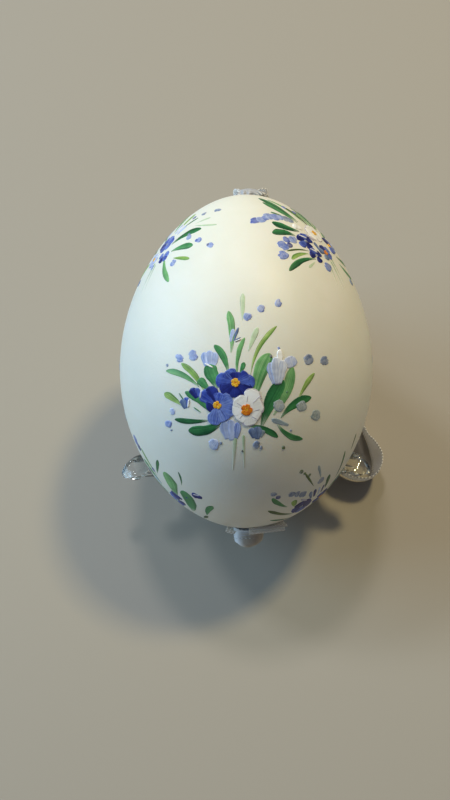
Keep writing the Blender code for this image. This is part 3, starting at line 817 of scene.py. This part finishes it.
def bouquet(name, turn, along, strokes, seed, material):
    """All the strokes of one bouquet, in the order in which they were painted."""
    canvas = {
        "dice": random.Random(seed), "place": bouquet_frame(turn, along), "lift": STROKE_FIRST_LIFT,
        "points": [], "faces": [], "colours": [], "count": 0,
    }
    for one in strokes["leaves"]:
        leaf(canvas, *one)
    for one in strokes["cups"]:
        if one[-1] not in HIGHLIGHT_TONES:
            cup(canvas, *one)
    for one in strokes["dabs"]:
        dab(canvas, *one)
    for one in strokes["flowers"]:
        flower(canvas, *one)
    canvas["lift"] += STROKE_THICKNESS["petal"]
    for one in strokes["cups"]:
        if one[-1] in HIGHLIGHT_TONES:
            cup(canvas, *one)
    faces = np.concatenate(canvas["faces"]).tolist()
    mesh = mesh_from(name, np.concatenate(canvas["points"]), faces, material)
    vertex_colours(mesh, "paint", np.concatenate(canvas["colours"]))
    item = link(name, mesh)
    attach(item, "root")


def in_egg(along, front, across=0.0):
    """A point given along the egg's axis, towards its front and to the side, in millimetres."""
    return EGG_CENTRE + AXIS * along * MM + FRONT * front * MM + Vector((across * MM, 0, 0))


def ribbon_route():
    """The loop's own points: (place, direction of its width, width in millimetres).

    It leaves the knot at the blunt end, goes through the shell, bends over at the pointed
    hole, hangs down behind, lies in a loop on the table and comes back the same way.
    """
    # Through the shell, and over the rim: (along the axis, towards the front, to the side, width)
    through = [(-30.5, 0.45, 0, 2.8), (-28, 0.5, 0, 2.8), (-22, 1.7, 0, 4.4),
               (-8, 2.9, 0, 5.4), (8, 2.9, 0, 5.4), (22, 1.7, 0, 4.4)]
    over = [(28.2, 0.5, 0, 2.8), (29.9, 0.45, 0, 3), (30.9, -0.2, 0.4, 4.4),
            (31.1, -1.8, 0.9, 5.7), (30.9, -4.6, 1, 6)]
    under = [(30.3, -4.2, 0.9, 6), (30.35, -2.4, 0.8, 5.2), (30.1, -1, 0.3, 3.3),
             (28.9, -0.45, 0, 2.8), (27.4, -0.6, 0, 2.8)]
    returning = [(along, -front, across, width) for along, front, across, width in through[::-1]]
    # Behind and on the table: (place in millimetres, direction of its width)
    hanging = [
        ((0.9, 30.3, 40), SIDE), ((0.6, 30.9, 30), SIDE), ((0.6, 31.2, 19), (0.9, 0.45, 0)),
        ((2, 31.3, 9.5), (0.5, 0.85, 0.1)), ((6.2, 31, 4.4), (0.1, 0.9, 0.45)),
    ]
    table = [
        ((11.5, 29.6, 3.6), (0, 0.5, 0.85)), ((17, 26, 3.45), UP), ((20.9, 19, 3.45), UP),
        ((22.6, 11, 3.45), UP), ((23.4, 4.2, 3.4), (-0.1, 0, 1)), ((24.7, -0.6, 3.35), (-0.18, 0, 1)),
        ((25.9, -3.5, 3.3), (0.05, 0, 1)), ((26.5, -6.2, 3.3), (0.22, -0.05, 1)),
        ((26, -8.8, 3.3), (0.18, -0.2, 1)), ((24.3, -10.3, 3.3), (0.05, -0.4, 1)),
        ((21.6, -10.4, 3.3), (0, -0.4, 1)), ((18.8, -9, 3.4), (-0.1, -0.35, 1)),
        ((16.2, -5.6, 3.45), UP), ((15.3, 0, 3.45), UP), ((15.8, 8, 3.45), UP),
        ((14.6, 16, 3.45), UP), ((10.6, 22.6, 3.6), (-0.1, 0.35, 0.9)),
    ]
    rising = [
        ((5.4, 26.6, 4.6), (0.1, 0.9, 0.5)), ((1.6, 28.6, 9.5), (0.5, 0.85, 0.1)),
        ((0.3, 29.3, 19), (0.9, 0.45, 0)), ((0.6, 29.4, 30), SIDE), ((0.9, 29.1, 40), SIDE),
    ]
    leaving = [(in_egg(*point), SIDE, width) for *point, width in through + over]
    behind = [(Vector(place) * MM, Vector(across), RIBBON_WIDTH)
              for place, across in hanging + table + rising]
    coming = [(in_egg(*point), SIDE, width) for *point, width in under + returning]
    return leaving + behind + coming


def smooth_route(route):
    """The route as closely spaced points on a smooth curve: places, width directions, widths."""
    places = np.array([point[0] for point in route]) / MM
    widths = np.array([[*point[1], point[2]] for point in route])
    knots = np.hstack([places, widths])
    knots = np.vstack([knots[:1], knots, knots[-1:]])
    fine = []
    for before, start, end, after in zip(knots, knots[1:], knots[2:], knots[3:]):
        steps = max(1, round(np.linalg.norm(end[:3] - start[:3]) / RIBBON_STEP))
        share = np.linspace(0, 1, steps, endpoint=False)[:, None]
        fine.append(0.5 * (
            2 * start
            + (end - before) * share
            + (2 * before - 5 * start + 4 * end - after) * share**2
            + (3 * start - before - 3 * end + after) * share**3
        ))
    fine.append(knots[-1:])
    fine = np.vstack(fine)
    return fine[:, :3], fine[:, 3:6], fine[:, 6]


def run_along(places):
    """How far along a line each of its points lies."""
    return np.concatenate([[0], np.cumsum(np.linalg.norm(np.diff(places, axis=0), axis=1))])


def woven_strip(name, places, acrosses, widths, curl=0.0, edge_style=LOOP_EDGE,
                face_colour=RIBBON_FACE_COLOUR, gathered=0.9):
    """A woven ribbon along a line: a thin face between two thicker, beaded edges."""
    travel = unit(np.gradient(places, axis=0))
    across = unit(acrosses - travel * np.sum(acrosses * travel, axis=1, keepdims=True))
    face = np.cross(travel, across)
    run = run_along(places)
    side = np.linspace(-1, 1, RIBBON_COLUMNS)
    bead = (0.5 + 0.5 * np.cos(run * 2 * math.pi / BEAD_SPACING))[:, None] * np.ones_like(side)[None, :]
    if edge_style is END_EDGE:
        bead = 0.5 + (bead - 0.5) * np.cos(side * 4.5 * math.pi)[None, :]
    edge = smooth_step(edge_style["from"] - 0.08, edge_style["from"] + 0.03, np.abs(side))
    half_thick = RIBBON_HALF_THICKNESS + edge[None, :] * (0.02 + edge_style["bead_height"] * bead)
    half_thick[:, [0, -1]] *= 0.6
    picot = 1 + np.where(np.abs(side) > 0.98, 0.06, 0)[None, :] * bead
    out = side[None, :] * widths[:, None] / 2 * picot
    rolled = (widths[:, None] / RIBBON_WIDTH) * np.broadcast_to(curl, run.shape)[:, None] * (side**2)[None, :]
    gather = np.maximum(0, 1 - widths / GATHERED_BELOW)[:, None]
    pleat = gather * gathered * np.cos(side * 3 * math.pi)[None, :]
    middle = places[:, None, :] + across[:, None, :] * out[..., None]
    middle = middle + face[:, None, :] * (rolled + pleat)[..., None]
    top = middle + face[:, None, :] * half_thick[..., None]
    bottom = middle - face[:, None, :] * half_thick[..., None]
    rings = np.concatenate([top, bottom[:, ::-1]], axis=1)
    rows, columns = rings.shape[:2]
    faces = grid_faces(rows, columns, wrap_columns=True)
    half = columns // 2
    ends = []
    for first in (0, (rows - 1) * columns):
        for k in range(half - 1):
            ends.append([first + k, first + k + 1, first + columns - 2 - k, first + columns - 1 - k])
    ends = np.array(ends)
    ends[half - 1:] = ends[half - 1:, ::-1]
    mesh = mesh_from(name, rings.reshape(-1, 3) * MM, np.vstack([faces, ends]).tolist(), ribbon_cloth)
    thread = blend(srgb(*edge_style["between_beads"]), srgb(252, 252, 248), bead[..., None])
    colour = blend(srgb(*face_colour), thread, edge[None, :, None])
    colour = np.concatenate([colour, colour[:, ::-1]], axis=1).reshape(-1, 3)
    vertex_colours(mesh, "thread", colour)
    weave = np.zeros((rows, columns, 3))
    weave[:, :half, 0] = out
    weave[:, half:, 0] = out[:, ::-1]
    weave[..., 1] = run[:, None]
    layer = mesh.attributes.new("weave", "FLOAT_VECTOR", "POINT")
    layer.data.foreach_set("vector", weave.astype(np.float32).ravel())
    item = link(name, mesh)
    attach(item, "root")
    return item


def petal_half_width(share):
    """Half the petal's width at a share of its length, with a rounded end."""
    width = PETAL_ROOT_HALF_WIDTH + (PETAL_TIP_HALF_WIDTH - PETAL_ROOT_HALF_WIDTH) * share
    past = max(0.0, (share - PETAL_ROUND_FROM) / (1 - PETAL_ROUND_FROM))
    return width * max(0.3, math.sqrt(1 - past * past))


def stand_petal(angle):
    """One petal: a grid bent along its side profile, with two lengthwise ridges, made solid."""
    knots = [Vector((reach * MM, height * MM)) for reach, height in PETAL_SIDE]
    side = interpolate_bezier(*knots, PETAL_ROWS + 1)
    cage = bmesh.new()
    bmesh.ops.create_grid(cage, x_segments=PETAL_ROWS, y_segments=PETAL_COLUMNS, size=1)
    for vertex in cage.verts:
        row = round((vertex.co.x + 1) / 2 * PETAL_ROWS)
        across = vertex.co.y
        before, after = side[max(row - 1, 0)], side[min(row + 1, PETAL_ROWS)]
        slope = (after - before).normalized()
        ridge = PETAL_RIDGE * MM * math.exp(-(((abs(across) - PETAL_RIDGE_AT) / PETAL_RIDGE_SPREAD) ** 2))
        ridge *= math.sin(math.pi * min(1.0, row / PETAL_ROWS + 0.12) ** 2)
        vertex.co.x = side[row].x - slope.y * ridge
        vertex.co.y = across * petal_half_width(row / PETAL_ROWS) * MM
        vertex.co.z = side[row].y + slope.x * ridge
    mesh = bpy.data.meshes.new("petal")
    cage.to_mesh(mesh)
    cage.free()
    item = link("petal", mesh)
    item.location = STAND_AXIS
    item.rotation_euler.z = math.radians(angle)
    thick = item.modifiers.new("thick", "SOLIDIFY")
    thick.thickness = PETAL_THICKNESS * MM
    thick.offset = 0
    thick.use_even_offset = True
    rounded = item.modifiers.new("rounded", "BEVEL")
    rounded.width = PETAL_EDGE_ROUNDING * MM
    rounded.segments = 3
    rounded.limit_method = "ANGLE"
    rounded.angle_limit = math.radians(50)
    return item


def stand_ring():
    """The low ring, flat underneath, with its edges rounded."""
    # Its four corners: (distance from the axis, height, the angle its rounding starts from)
    corners = [
        (RING_OUTER, RING_HEIGHT, 90), (RING_OUTER, 0, 0),
        (RING_INNER, 0, -90), (RING_INNER, RING_HEIGHT, 180),
    ]
    profile = []
    for rho, height, start in corners:
        inward = -1 if rho == RING_OUTER else 1
        upward = 1 if height == 0 else -1
        middle = Vector((rho + inward * RING_ROUNDING, height + upward * RING_ROUNDING))
        for step in range(7):
            angle = math.radians(start - 90 * step / 6)
            profile.append(middle + Vector((math.cos(angle), math.sin(angle))) * RING_ROUNDING)
    mesh = bpy.data.meshes.new("stand")
    edges = [(i, (i + 1) % len(profile)) for i in range(len(profile))]
    mesh.from_pydata([(point.x * MM, 0, point.y * MM) for point in profile], edges, [])
    item = link("stand", mesh)
    item.location = STAND_AXIS
    turned = item.modifiers.new("turned", "SCREW")
    turned.steps = 128
    turned.render_steps = 128
    turned.use_merge_vertices = True
    turned.merge_threshold = 0.001 * MM
    return item


def applied(item):
    """Replace an object's mesh by what its modifiers make of it."""
    evaluated = item.evaluated_get(bpy.context.evaluated_depsgraph_get())
    mesh = bpy.data.meshes.new_from_object(evaluated)
    item.modifiers.clear()
    item.data = mesh


def clear_stand():
    """The ring and its three petals, joined in one moulded piece."""
    item = stand_ring()
    petals = [stand_petal(angle) for angle in PETAL_ANGLES]
    for petal in petals:
        joined = item.modifiers.new("joined", "BOOLEAN")
        joined.operation = "UNION"
        joined.object = petal
    bpy.context.view_layer.update()
    applied(item)
    for petal in petals:
        bpy.data.objects.remove(petal)
    item.name = "clear_stand"
    item.data.materials.clear()
    item.data.materials.append(clear_material())
    item.data.shade_smooth()
    item.data.set_sharp_from_angle(angle=math.radians(45))
    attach(item, "root")
    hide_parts("egg_stand")


def knot_points(across, along, front):
    """Points of the knot in millimetres, from the egg's own directions."""
    steps = np.stack(np.broadcast_arrays(across, along, front), axis=-1)
    return np.array(EGG_CENTRE) / MM + steps @ np.array([SIDE, AXIS, FRONT])


def knot_cup():
    """The pulled-tight fold of the knot: a small pouch of glossy ribbon with a rolled rim and creases, in
    painted shade with a painted highlight.
    """
    rim, bottom, wall = -29.9, -33.1, 0.34
    rows, steps = 34, 72
    theta = np.linspace(0, 2 * math.pi, steps, endpoint=False)[None, :]
    level = np.linspace(0, 1, rows)[:, None]
    depth = np.sin(level * math.pi / 2)
    round_off = np.sqrt(np.maximum(0, 1 - (0.985 * level) ** 3.2))
    lobes = 1 + 0.04 * np.cos(3 * theta + 0.6) + 0.03 * np.cos(5 * theta + 3 * level)
    notch = 1 - 0.16 * np.exp(-((theta - math.pi) / 0.3) ** 2) * np.exp(-((level - 0.45) / 0.16) ** 2)
    wide = 2.75 * round_off * lobes * notch
    deep = 1.75 * round_off * lobes
    layers = []
    for inset in (0.0, wall):
        across = 0.35 + (wide - inset * round_off) * np.cos(theta)
        front = (deep - inset * round_off) * np.sin(theta)
        along = rim + 0.28 * np.cos(2 * theta) + (bottom - rim + inset) * depth
        layers.append(knot_points(across, along, front))
    rings = np.concatenate([layers[0][::-1], layers[1]])
    faces = grid_faces(len(rings), steps, wrap_columns=True).tolist()
    faces += [list(range(steps))[::-1], [(len(rings) - 1) * steps + k for k in range(steps)]]
    mesh = mesh_from("knot_cup", rings.reshape(-1, 3) * MM, faces, ribbon_cloth)
    height = np.concatenate([level[::-1], level])[:, 0]
    rim_white = np.exp(-(height / 0.12) ** 2)[:, None, None]
    # Painted light: the tan-grey of the body is the white ribbon's painted shade, and the bluish white
    # towards the left side is a painted highlight from the cool lamp on the left.
    left = smooth_step(0.1, 0.98, -np.cos(theta))[0][None, :, None]
    painted_shade_and_highlight = blend(srgb(184, 173, 158), srgb(236, 242, 252), left)
    colour = blend(painted_shade_and_highlight, srgb(246, 246, 246), rim_white)
    vertex_colours(mesh, "thread", colour.reshape(-1, 3))
    item = link("ribbon_knot_fold", mesh)
    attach(item, "root")
    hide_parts("ribbon_knot")
    return item


def knot_wrap():
    """The turn of the ribbon round the neck of the knot."""
    turns = np.linspace(0, 2 * math.pi * 1.02, 110)
    across = 1.75 * np.cos(turns + 0.5) + 0.1
    front = 1.2 * np.sin(turns + 0.5) + 0.1
    along = -30.95 + 0.25 * np.sin(turns) - 0.5 * turns / (2 * math.pi)
    places = knot_points(across, along, front)
    acrosses = np.repeat(np.array(AXIS)[None, :], len(turns), axis=0)
    return woven_strip("ribbon_knot_wrap", places, acrosses, np.full(len(turns), 1.5))


def tail(name, node, points, width):
    """One cut end of the ribbon."""
    edge_on = (FRONT * -0.99 + AXIS * 0.1).normalized()
    route = smooth_route([(in_egg(*point), edge_on, width) for point in points])
    # Painted warm light: the cream face colour makes the cut end brighter and warmer than the loop's face,
    # for lamp light that doesn't reach it under the egg.
    item = woven_strip(name, *route, 0.15, END_EDGE, (252, 244, 228))
    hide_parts(node)
    return item


def tail_fold():
    """The long end's upper edge, folded over so that its woven face shows."""
    points = [(-29.95 + 0.12 * step, 4.05, 0.5 + 1.05 * step) for step in range(7)]
    route = smooth_route([(in_egg(*point), AXIS, 1.15) for point in points])
    # Painted warm light: the fold's cream face is brighter and warmer than the loop's face, for lamp light
    # that doesn't reach it under the egg.
    return woven_strip("ribbon_end_fold", *route, 0, END_EDGE, (255, 250, 228), gathered=0)


def ribbon():
    """The ribbon's loop with the pieces at its end."""
    places, acrosses, widths = smooth_route(ribbon_route())
    bend = np.array(in_egg(30.6, -1.2, 0.6)) / MM
    near_bend = np.exp(-(np.linalg.norm(places - bend, axis=1) / 4.0) ** 2)
    loop = woven_strip("ribbon", places, acrosses, widths, 0.35 + 0.8 * near_bend)
    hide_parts("ribbon_loop")
    pieces = [
        knot_cup(),
        knot_wrap(),
        tail_fold(),
        tail("ribbon_end_long", "ribbon_tail_long",
             [(-29.95, 0.9, 0.8), (-29.7, 0.9, 3.2), (-29.4, 0.9, 5.0), (-28.95, 0.7, 7.0)], 6.0),
        tail("ribbon_end_short", "ribbon_tail_short",
             [(-30.5, -0.1, -1.6), (-30.4, -0.2, -2.6), (-30.1, -0.3, -3.5)], 2.6),
    ]


def floor():
    mesh = bpy.data.meshes.new("floor")
    cage = bmesh.new()
    bmesh.ops.create_grid(cage, x_segments=1, y_segments=1, size=1.5)
    cage.to_mesh(mesh)
    cage.free()
    mesh.materials.append(new_material("floor", srgb(168, 160, 148), 0.7)[0])
    item = link("floor", mesh)


def lamp(name, place, size, power, colour):
    """A soft square lamp that points at the egg."""
    data = bpy.data.lights.new(name, "AREA")
    data.size = size
    data.energy = power
    data.color = colour
    item = link(name, data)
    item.location = place
    item.rotation_euler = (EGG_CENTRE - Vector(place)).to_track_quat("-Z", "Y").to_euler()


def lights():
    """Soft lamps overhead and a little behind, warm from the right and cool from the left."""
    lamp("lamp_right", (0.18, 0.18, 0.5), 0.07, 1.24, (1.0, 0.84, 0.45))
    lamp("lamp_middle", (-0.05, 0.26, 0.54), 0.07, 0.7, (1.0, 0.95, 0.9))
    lamp("lamp_left", (-0.30, 0.22, 0.48), 0.09, 0.7, (0.88, 0.95, 1.0))
    lamp("window_left", (-0.7, 0.08, 0.36), 0.5, 4.5, (0.46, 0.74, 1.0))
    world = bpy.data.worlds.new("room")
    world.use_nodes = True
    background = world.node_tree.nodes["Background"]
    background.inputs["Color"].default_value = (0.86, 0.90, 1.0, 1)
    background.inputs["Strength"].default_value = 0.13
    bpy.context.scene.world = world
    bpy.context.scene.view_settings.view_transform = "Standard"


camera()
ribbon_cloth = ribbon_material()
ribbon()
eggshell()
clear_stand()
brushed_paint = paint_material()
for seed, (name, turn, along, strokes) in enumerate(BOUQUETS, start=1):
    bouquet(name, turn, along, strokes, seed, brushed_paint)
floor()
lights()
